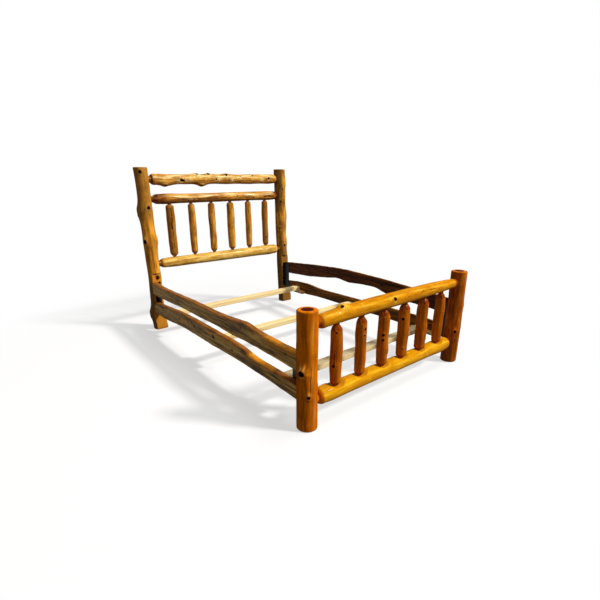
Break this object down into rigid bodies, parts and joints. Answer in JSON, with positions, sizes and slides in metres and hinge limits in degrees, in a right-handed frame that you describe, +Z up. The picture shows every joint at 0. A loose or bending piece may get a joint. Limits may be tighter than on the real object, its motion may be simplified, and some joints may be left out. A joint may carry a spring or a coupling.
{
  "type": "rustic log bed",
  "caption": "Rustic log bed with peeled-pole headboard and footboard, hook-on side rails made from live-edge slabs, and loose pine slats on short cleats",
  "frame": {"origin": "on the floor midway between the four posts; Z up, +Y toward the headboard, +X toward the right side seen from the foot", "axes": "X across the bed, Y from foot to head, Z up"},
  "size_m": [1.5529, 2.1871, 1.365],
  "materials": {
    "head_post_log": "gloss",
    "foot_post_log": "gloss",
    "head_rail_log": "gloss",
    "foot_rail_log": "gloss",
    "head_spindle_log": "gloss",
    "foot_spindle_log": "gloss",
    "live_edge_slab": "satin",
    "slat_pine": "matte",
    "cleat_pine": "matte",
    "black_steel": "satin",
    "zinc_screw": "satin"
  },
  "bodies": {
    "bed_ends": {"foot_bottom_rail": "foot_rail_log", "foot_post_left": "foot_post_log", "foot_post_right": "foot_post_log", "foot_spindle_1": "foot_spindle_log", "foot_spindle_2": "foot_spindle_log", "foot_spindle_3": "foot_spindle_log", "foot_spindle_4": "foot_spindle_log", "foot_spindle_5": "foot_spindle_log", "foot_spindle_6": "foot_spindle_log", "foot_strike_screws": "black_steel", "foot_tenon_screws": "zinc_screw", "foot_top_rail": "foot_rail_log", "head_bottom_rail": "head_rail_log", "head_middle_rail": "head_rail_log", "head_post_left": "head_post_log", "head_post_right": "head_post_log", "head_spindle_1": "head_spindle_log", "head_spindle_2": "head_spindle_log", "head_spindle_3": "head_spindle_log", "head_spindle_4": "head_spindle_log", "head_spindle_5": "head_spindle_log", "head_spindle_6": "head_spindle_log", "head_strike_screws": "black_steel", "head_tenon_screws": "zinc_screw", "head_top_rail": "head_rail_log", "left_foot_strike_plate": "black_steel", "left_head_strike_plate": "black_steel", "right_foot_strike_plate": "black_steel", "right_head_strike_plate": "black_steel"},
    "left_rail": {"left_cleat_screws": "zinc_screw", "left_foot_cleat": "cleat_pine", "left_foot_hook_plate": "black_steel", "left_head_cleat": "cleat_pine", "left_head_hook_plate": "black_steel", "left_lower_slab": "live_edge_slab", "left_middle_cleat": "cleat_pine", "left_plate_screws": "black_steel", "left_upper_slab": "live_edge_slab"},
    "right_rail": {"right_cleat_screws": "zinc_screw", "right_foot_cleat": "cleat_pine", "right_foot_hook_plate": "black_steel", "right_head_cleat": "cleat_pine", "right_head_hook_plate": "black_steel", "right_lower_slab": "live_edge_slab", "right_middle_cleat": "cleat_pine", "right_plate_screws": "black_steel", "right_upper_slab": "live_edge_slab"},
    "foot_slat": {"foot_slat": "slat_pine"},
    "middle_slat": {"middle_slat": "slat_pine"},
    "head_slat": {"head_slat": "slat_pine"}
  },
  "joints": [
    {"name": "left_rail_lift", "type": "slide", "parent": "bed_ends", "child": "left_rail", "axis": [0, 0, 1], "range_m": [0, 0.02]},
    {"name": "right_rail_lift", "type": "slide", "parent": "bed_ends", "child": "right_rail", "axis": [0, 0, 1], "range_m": [0, 0.02]},
    {"name": "foot_slat_lift", "type": "slide", "parent": "left_rail", "child": "foot_slat", "axis": [0, 0, 1], "range_m": [0, 0.34]},
    {"name": "middle_slat_lift", "type": "slide", "parent": "left_rail", "child": "middle_slat", "axis": [0, 0, 1], "range_m": [0, 0.34]},
    {"name": "head_slat_lift", "type": "slide", "parent": "left_rail", "child": "head_slat", "axis": [0, 0, 1], "range_m": [0, 0.34]}
  ],
  "couplings": [
    {"joint": "right_rail_lift", "follows": "left_rail_lift", "ratio": 1}
  ]
}
